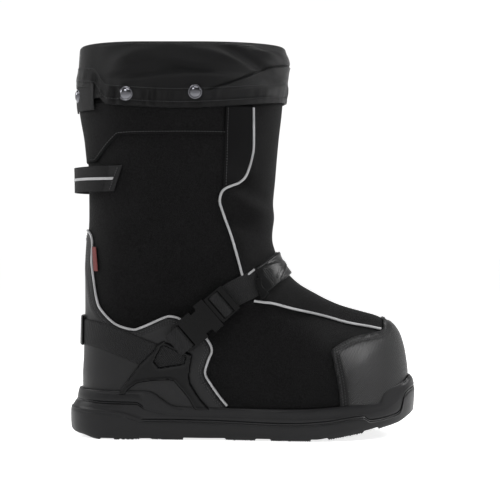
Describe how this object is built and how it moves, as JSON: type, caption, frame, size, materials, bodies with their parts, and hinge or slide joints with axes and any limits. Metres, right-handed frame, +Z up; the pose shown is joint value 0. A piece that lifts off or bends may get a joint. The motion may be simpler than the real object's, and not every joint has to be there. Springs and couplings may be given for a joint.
{
  "type": "winter overshoe",
  "caption": "Tall black insulated overshoe for the right foot, with a moulded cup sole, rubber toe and heel panels, a folded nylon cuff and a buckled ankle strap.",
  "frame": {"origin": "On the floor, under the middle of the sole's length and width.", "axes": "+X towards the toe, +Z up, -Y towards the buckled outer side of this right overshoe."},
  "size_m": [0.3446, 0.1297, 0.3854],
  "materials": {
    "sole_rubber": "satin moulded rubber",
    "cap_rubber": "rubber embossed with a fine diagonal twill",
    "panel_rubber": "matte rubberised fabric",
    "label_rubber": "smooth satin rubber, plain",
    "anchor_rubber": "smooth matte moulded rubber",
    "fabric": "matte woven nylon over padding",
    "felt": "grey felt",
    "nylon": "thin coated nylon with a soft sheen",
    "webbing": "ribbed polyester webbing",
    "piping": "light grey reflective piping",
    "tag_woven": "dull red woven tab, plain",
    "buckle_plastic": "satin black moulded plastic",
    "gunmetal": "glossy dark gunmetal"
  },
  "bodies": {
    "root": {"outsole": "sole_rubber", "upper": "fabric", "insole": "felt", "toe_cap": "cap_rubber", "counter": "panel_rubber", "yoke": "fabric", "label_patch": "label_rubber", "strap_anchor_outer": "anchor_rubber", "strap_anchor_inner": "anchor_rubber", "window_webbing_outer": "webbing", "window_webbing_inner": "webbing", "heel_strap": "webbing", "heel_keeper": "anchor_rubber", "ankle_strap": "webbing", "instep_pad": "anchor_rubber", "buckle_receiver": "buckle_plastic", "buckle_ladder": "buckle_plastic", "anchor_webbing": "webbing", "ladder_webbing": "webbing", "cuff": "nylon", "cuff_tab": "nylon", "snap_back": "gunmetal", "snap_rear_outer": "gunmetal", "snap_front_outer": "gunmetal", "snap_rear_inner": "gunmetal", "snap_front_inner": "gunmetal", "pull_loop": "webbing", "counter_piping": "piping", "shaft_piping_outer": "piping", "shaft_piping_inner": "piping", "vamp_piping_outer": "piping", "vamp_piping_inner": "piping", "side_tag": "tag_woven"}
  },
  "joints": []
}
